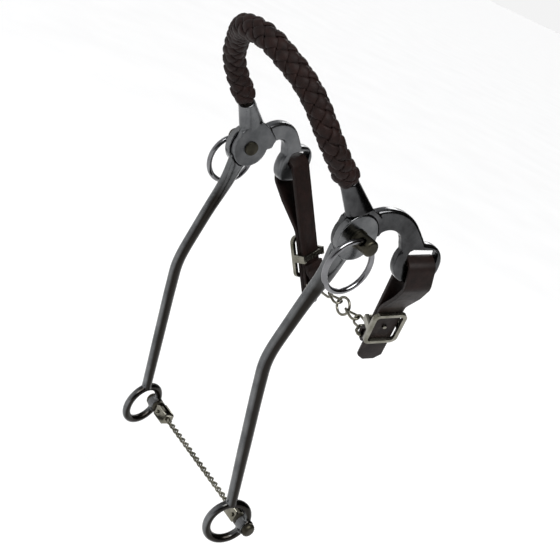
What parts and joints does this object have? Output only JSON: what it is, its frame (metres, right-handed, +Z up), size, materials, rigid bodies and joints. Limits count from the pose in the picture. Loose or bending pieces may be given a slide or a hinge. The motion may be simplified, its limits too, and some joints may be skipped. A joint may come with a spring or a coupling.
{
  "type": "bitless hackamore",
  "caption": "Mechanical bitless hackamore: braided noseband, two jointed cheeks with long shanks, curb straps and chain.",
  "frame": {"origin": "midway between the two cheek pivots, in the space that takes the horse's muzzle", "axes": "+X to the horse's left, +Y to the rear (towards the curb), +Z up with the shanks hanging"},
  "size_m": [0.145, 0.1719, 0.2881],
  "materials": {
    "core": "stiff waxed rope",
    "braided_leather": "oiled braid",
    "strap_leather": "smooth bridle leather",
    "polished_casting": "polished, slightly dull",
    "bright_wire": "polished",
    "stud_metal": "dull",
    "nickel": "nickel plated"
  },
  "bodies": {
    "noseband_and_cheeks": {"nose_core": "core", "nose_braid": "braided_leather", "left_cheek_arm": "polished_casting", "right_cheek_arm": "polished_casting"},
    "left_shank_body": {"left_shank": "polished_casting"},
    "right_shank_body": {"right_shank": "polished_casting"},
    "left_stud_body": {"left_pivot_stud": "stud_metal"},
    "right_stud_body": {"right_pivot_stud": "stud_metal"},
    "left_ring_body": {"left_headstall_ring": "bright_wire"},
    "right_ring_body": {"right_headstall_ring": "bright_wire"},
    "curb_straps_body": {"left_curb_strap": "strap_leather", "right_curb_strap": "strap_leather", "left_curb_buckle": "nickel", "right_curb_buckle": "nickel", "left_curb_dee": "nickel", "right_curb_dee": "nickel"},
    "curb_chain_body": {"left_curb_links": "nickel", "right_curb_links": "nickel", "curb_centre_ring": "nickel"},
    "shank_chain_body": {"left_rein_swivel": "stud_metal", "left_chain_clevis": "nickel", "left_clevis_pin": "nickel", "shank_chain": "nickel", "right_chain_clevis": "nickel", "right_clevis_pin": "nickel", "right_rein_swivel": "stud_metal"}
  },
  "joints": [
    {"name": "left_shank_pivot", "type": "hinge", "parent": "noseband_and_cheeks", "child": "left_shank_body", "pos_m": [0.0538, 0, 0], "axis": [1, 0, 0], "range_deg": [-45, 50]},
    {"name": "right_shank_pivot", "type": "hinge", "parent": "noseband_and_cheeks", "child": "right_shank_body", "pos_m": [-0.0538, 0, 0], "axis": [1, 0, 0], "range_deg": [-45, 50]},
    {"name": "left_stud_turn", "type": "hinge", "parent": "noseband_and_cheeks", "child": "left_stud_body", "pos_m": [0.0538, 0, 0], "axis": [1, 0, 0], "continuous": true},
    {"name": "right_stud_turn", "type": "hinge", "parent": "noseband_and_cheeks", "child": "right_stud_body", "pos_m": [-0.0538, 0, 0], "axis": [1, 0, 0], "continuous": true},
    {"name": "left_ring_swing", "type": "hinge", "parent": "left_stud_body", "child": "left_ring_body", "pos_m": [0.0652, 0, 0], "axis": [0, 0.9397, -0.342], "range_deg": [-95, 3]},
    {"name": "right_ring_swing", "type": "hinge", "parent": "right_stud_body", "child": "right_ring_body", "pos_m": [-0.0652, 0, 0], "axis": [0, 0.9945, 0.1045], "range_deg": [-3, 95]},
    {"name": "curb_lean", "type": "hinge", "parent": "noseband_and_cheeks", "child": "curb_straps_body", "pos_m": [0, 0.0488, -0.0076], "axis": [1, 0, 0], "range_deg": [-8, 2]},
    {"name": "curb_chain_roll", "type": "hinge", "parent": "curb_straps_body", "child": "curb_chain_body", "pos_m": [0, 0.08254, -0.07247], "axis": [1, 0, 0], "range_deg": [-8, 8]},
    {"name": "shank_chain_roll", "type": "hinge", "parent": "left_shank_body", "child": "shank_chain_body", "pos_m": [0.05803, 0.02398, -0.1923], "axis": [1, 0, 0], "continuous": true}
  ],
  "couplings": [
    {"joint": "right_shank_pivot", "follows": "left_shank_pivot", "ratio": 1}
  ]
}
